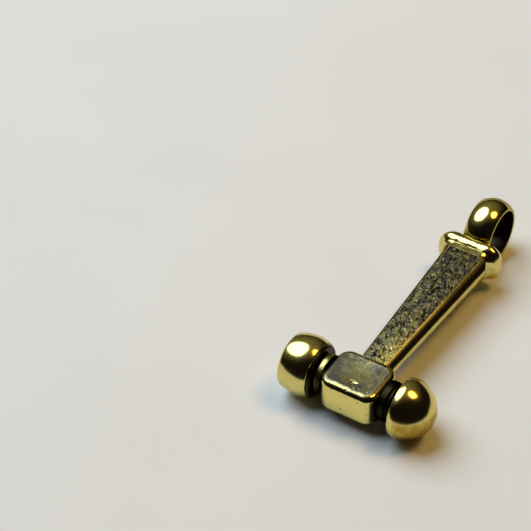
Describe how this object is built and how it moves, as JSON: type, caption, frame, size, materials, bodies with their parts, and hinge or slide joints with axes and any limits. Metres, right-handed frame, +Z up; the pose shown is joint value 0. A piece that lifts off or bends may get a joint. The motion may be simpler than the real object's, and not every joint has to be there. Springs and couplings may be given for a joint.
{
  "type": "ball-peen hammer charm",
  "caption": "Small antiqued-brass ball-peen hammer pendant: round striking face, faceted cheek block, domed peen, tapered wood-grained handle, flared collar and wide hanging ring.",
  "frame": {"origin": "under the middle of the charm's box, on the flat surface that it lies on", "axes": "+X along the head from striking face to peen, +Y along the handle from head to hanging ring, +Z up off the surface"},
  "size_m": [0.0182, 0.0382, 0.0081],
  "materials": {
    "polished_brass": "polished high spots with darkened edges",
    "patina_brass": "rubbed olive-grey patina, satin",
    "grained_brass": "wood-grain marks filled with dark patina, rubbed bright along the edges",
    "dark_brass": "blackened recess",
    "bare_brass": "bare rod, hidden"
  },
  "bodies": {
    "root": {"face_drum": "polished_brass", "face_neck": "dark_brass", "cheek_block": "patina_brass", "peen_neck": "dark_brass", "ball_peen": "polished_brass", "head_pin": "bare_brass", "handle": "grained_brass", "end_collar": "polished_brass", "bail_ring": "polished_brass"}
  },
  "joints": []
}
